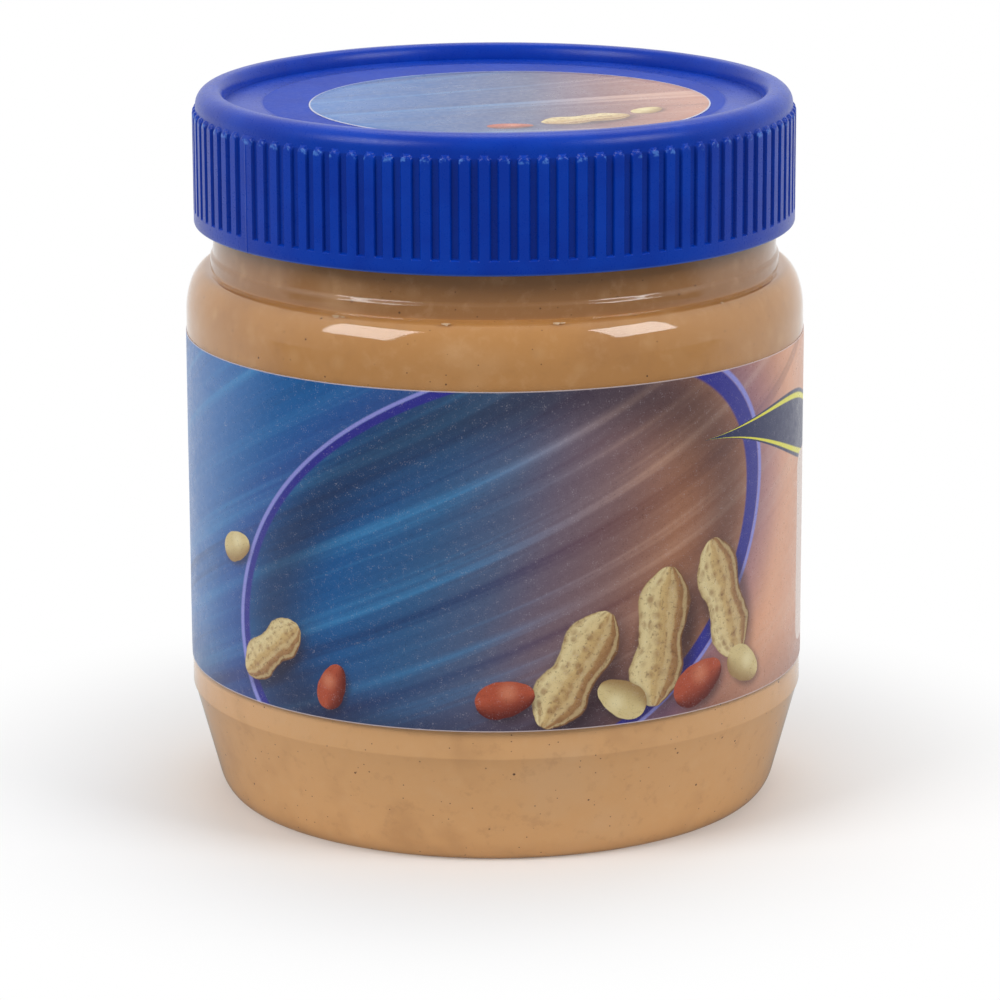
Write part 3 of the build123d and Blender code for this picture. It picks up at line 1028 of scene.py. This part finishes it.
def printed_film(name, print_maker, cut_edges):
    """Printed glossy film, pale along its cut edges at the top and bottom if it has them."""
    material, tree, shader, _ = new_material(name)
    place = object_place(tree)
    colour = print_maker(tree, place)
    if cut_edges:
        up = tree.add("ShaderNodeSeparateXYZ", {0: place}).outputs[2]
        middle = (LABEL_BOTTOM + LABEL_TOP) / 2
        from_middle = tree.math("ABSOLUTE", tree.math("SUBTRACT", up, middle))
        half = (LABEL_TOP - LABEL_BOTTOM) / 2
        edge = tree.ramp(from_middle, half - 0.16, half - 0.08, 0.0, 0.7)
        colour = tree.mix(edge, colour, rgba(216, 198, 196))
    tree.put(shader.inputs["Base Color"], colour)
    grain = tree.group(shared("grain"), {"Vector": place, "Fineness": 1.4})["Grain"]
    tree.put(shader.inputs["Roughness"], tree.ramp(grain, 0.3, 0.7, 0.26, 0.38))
    tree.put(shader.inputs["Specular IOR Level"], 0.45)
    wave = tree.noise(place, 0.11, 2.0, 0.5)
    height = tree.math("ADD", wave, tree.math("MULTIPLY", grain, 0.05))
    bump = tree.add("ShaderNodeBump", {"Strength": 0.25, "Distance": 0.15 * MM, "Height": height})
    tree.put(shader.inputs["Normal"], bump.outputs[0])
    return material


def flake_material():
    """Dry pale flakes."""
    material, tree, shader, _ = new_material("dry flakes")
    place = object_place(tree)
    spots = tree.noise(place, 3.0, 3.0)
    tree.put(shader.inputs["Base Color"], tree.mix(spots, rgba(226, 200, 168), rgba(178, 138, 100)))
    tree.put(shader.inputs["Roughness"], tree.ramp(spots, 0.3, 0.7, 0.4, 0.7))
    return material


def dress(piece, material, node):
    """Give a piece its material, body and material slot, and hide the CAD node it stands for."""
    piece.data.materials.append(material)
    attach(piece, BODY)
    if node:
        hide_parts(node)


# ---------------------------------------------------------------- operators


class PBJAR_OT_contents(bpy.types.Operator):
    """Add the peanut butter that fills the jar"""

    bl_idname = "pbjar.contents"
    bl_label = "Peanut Butter"

    def execute(self, context):
        settings = context.scene.pbjar_jar
        dress(make_contents(settings), peanut_butter(settings), "peanut_butter")
        return {"FINISHED"}


class PBJAR_OT_jar(bpy.types.Operator):
    """Add the clear jar"""

    bl_idname = "pbjar.jar"
    bl_label = "Clear Jar"

    def execute(self, context):
        dress(make_jar(), clear_plastic(context.scene.pbjar_jar), "jar")
        return {"FINISHED"}


class PBJAR_OT_flakes(bpy.types.Operator):
    """Add the dry flakes on the shoulder"""

    bl_idname = "pbjar.flakes"
    bl_label = "Flakes"

    def execute(self, context):
        dress(make_flakes(), flake_material(), None)
        return {"FINISHED"}


class PBJAR_OT_lid(bpy.types.Operator):
    """Add the ribbed lid"""

    bl_idname = "pbjar.lid"
    bl_label = "Lid"

    def execute(self, context):
        dress(make_lid(), lid_plastic(context.scene.pbjar_lid), "lid")
        return {"FINISHED"}


class PBJAR_OT_labels(bpy.types.Operator):
    """Add the wrap-round label and the lid's sticker"""

    bl_idname = "pbjar.labels"
    bl_label = "Labels"

    def execute(self, context):
        wrap = printed_film("printed label film", label_print, True)
        dress(make_label(), wrap, "label")
        sticker = printed_film("printed sticker film", sticker_print, False)
        dress(make_lid_label(), sticker, "lid_label")
        return {"FINISHED"}


def white_rays(tree):
    """1 for rays that see the background directly, in gloss or through the plastic."""
    rays = tree.add("ShaderNodeLightPath").outputs
    seen = tree.math("MAXIMUM", rays["Is Camera Ray"], rays["Is Glossy Ray"])
    return tree.math("MAXIMUM", seen, rays["Is Transmission Ray"])


def make_world(strength):
    """White all round, at its full brightness only where it is seen. Gloss sees a dim side in front."""
    world = bpy.data.worlds.new("studio")
    world.use_nodes = True
    world.node_tree.nodes.clear()
    tree = Tree(world.node_tree)
    direction = tree.add("ShaderNodeTexCoord").outputs["Generated"]
    behind = tree.add("ShaderNodeSeparateXYZ", {0: direction}).outputs[1]
    mirrored = tree.ramp(behind, -0.75, 0.25, 0.3, 1.0)
    seen = tree.add("ShaderNodeLightPath").outputs["Is Camera Ray"]
    bright = tree.math("MAXIMUM", seen, mirrored)
    level = tree.add("ShaderNodeMix", {0: white_rays(tree), 2: strength, 3: bright}).outputs[0]
    background = tree.add("ShaderNodeBackground", {0: (1.0, 1.0, 1.0, 1.0), 1: level})
    output = tree.add("ShaderNodeOutputWorld")
    tree.put(output.inputs[0], background.outputs[0])
    bpy.context.scene.world = world


def make_floor():
    """Large pale floor that keeps the jar's shadow, with a painted shadow round the jar where its grey matte
    fades into plain white further out.
    """
    radii = [0.02, 0.05, 0.1, 0.2, 0.4, 0.8, 1.6, 3.0]
    rows = lathe_rows([(radius / MM, 0.0) for radius in radii], 96)
    floor = grid_object("studio_floor", rows, cap_start=(0.0, 0.0, 0.0))
    floor.location.z = -0.0001
    material = bpy.data.materials.new("studio floor")
    material.use_nodes = True
    material.node_tree.nodes.clear()
    tree = Tree(material.node_tree)
    place = object_place(tree)
    distance = tree.add("ShaderNodeVectorMath", {0: place}, operation="LENGTH").outputs["Value"]
    grain = tree.noise(place, 0.3, 2.0)
    rays = tree.add("ShaderNodeLightPath").outputs
    shade = tree.ramp(grain, 0.0, 1.0, 0.8, 0.84)
    colour = tree.add("ShaderNodeCombineColor", {0: shade, 1: shade, 2: shade}).outputs[0]
    colour = tree.mix(rays["Is Camera Ray"], colour, (0.86, 0.86, 0.86, 1.0))
    colour = tree.mix(rays["Is Glossy Ray"], colour, (0.3, 0.3, 0.3, 1.0))
    matte = tree.add("ShaderNodeBsdfDiffuse", {0: colour}).outputs[0]
    behind = tree.ramp(tree.add("ShaderNodeSeparateXYZ", {0: place}).outputs[1], -120.0, 60.0, 0.3, 1.0)
    bright = tree.math("MAXIMUM", rays["Is Camera Ray"], behind)
    level = tree.add("ShaderNodeMix", {0: white_rays(tree), 2: 0.42, 3: bright}).outputs[0]
    plain = tree.add("ShaderNodeEmission", {0: (1.0, 1.0, 1.0, 1.0), 1: level}).outputs[0]
    # Painted shadow: near the jar the floor stays a grey matte, darker than the white further out whatever
    # the light, and fades into the plain white glow from 32 mm to 84 mm.
    out_of_painted_shadow = tree.ramp(distance, 32.0, 84.0)
    both = tree.add("ShaderNodeMixShader", {0: out_of_painted_shadow, 1: matte, 2: plain}).outputs[0]
    output = tree.add("ShaderNodeOutputMaterial")
    tree.put(output.inputs[0], both)
    floor.data.materials.append(material)


def make_softbox(name, azimuth, elevation, distance, width, height, power):
    """Rectangular lamp that faces the middle of the jar. Azimuth 0 is in front, +90 to the right."""
    lamp = bpy.data.lights.new(name, "AREA")
    lamp.shape = "RECTANGLE"
    lamp.size = width
    lamp.size_y = height
    lamp.energy = power
    holder = bpy.data.objects.new(name, lamp)
    turn, rise = math.radians(azimuth), math.radians(elevation)
    direction = Vector((math.sin(turn) * math.cos(rise), -math.cos(turn) * math.cos(rise), math.sin(rise)))
    target = Vector((0, 0, 0.5 * JAR_TOP * MM))
    holder.location = target + direction * distance
    holder.rotation_euler = direction.to_track_quat("Z", "Y").to_euler()
    bpy.context.scene.collection.objects.link(holder)


def make_camera(settings):
    """Camera a little above the jar, looking slightly down."""
    camera = bpy.data.cameras.new("camera")
    camera.lens = settings.lens
    camera.sensor_width = 36.0
    camera.clip_start = 0.01
    holder = bpy.data.objects.new("camera", camera)
    turn, tilt, roll = 0.00096, 0.247577, -0.0038
    pose = Matrix.Rotation(-turn, 4, "Z") @ Matrix.Rotation(math.pi / 2 - tilt, 4, "X")
    pose = pose @ Matrix.Rotation(roll, 4, "Z")
    place = Matrix.Translation((0.0, -settings.camera_distance, settings.camera_height))
    holder.matrix_world = place @ pose
    bpy.context.scene.collection.objects.link(holder)
    bpy.context.scene.camera = holder


class PBJAR_OT_stage(bpy.types.Operator):
    """Add the floor, the lamps and the camera"""

    bl_idname = "pbjar.stage"
    bl_label = "Stage"

    def execute(self, context):
        settings = context.scene.pbjar_stage
        make_world(settings.world_strength)
        make_floor()
        share = settings.lamp_strength
        make_softbox("softbox_left", -54, 38, 0.9, 0.44, 0.42, 4.0 * share)
        make_softbox("softbox_right", 60, 37, 0.9, 0.38, 0.38, 3.4 * share)
        make_softbox("softbox_top", 170, 62, 1.0, 0.7, 0.5, 2.6 * share)
        make_camera(settings)
        context.scene.view_settings.view_transform = "Standard"
        return {"FINISHED"}


class PBJAR_PT_panel(bpy.types.Panel):
    """Lists the jar's pieces"""

    bl_idname = "PBJAR_PT_panel"
    bl_label = "Peanut Butter Jar"
    bl_space_type = "VIEW_3D"
    bl_region_type = "UI"
    bl_category = "Jar"

    def draw(self, context):
        for operator in OPERATORS:
            self.layout.operator(operator.bl_idname)


OPERATORS = (
    PBJAR_OT_contents,
    PBJAR_OT_jar,
    PBJAR_OT_flakes,
    PBJAR_OT_lid,
    PBJAR_OT_labels,
    PBJAR_OT_stage,
)
SETTINGS = {"pbjar_jar": JarSettings, "pbjar_lid": LidSettings, "pbjar_stage": StageSettings}


def register():
    for group in SETTINGS.values():
        bpy.utils.register_class(group)
    for name, group in SETTINGS.items():
        setattr(bpy.types.Scene, name, bpy.props.PointerProperty(type=group))
    for operator in OPERATORS:
        bpy.utils.register_class(operator)
    bpy.utils.register_class(PBJAR_PT_panel)


def unregister():
    bpy.utils.unregister_class(PBJAR_PT_panel)
    for operator in reversed(OPERATORS):
        bpy.utils.unregister_class(operator)
    for name, group in SETTINGS.items():
        delattr(bpy.types.Scene, name)
        bpy.utils.unregister_class(group)


def main():
    register()
    bpy.ops.pbjar.contents()
    bpy.ops.pbjar.jar()
    bpy.ops.pbjar.flakes()
    bpy.ops.pbjar.lid()
    bpy.ops.pbjar.labels()
    bpy.ops.pbjar.stage()


if __name__ == "__main__":
    main()
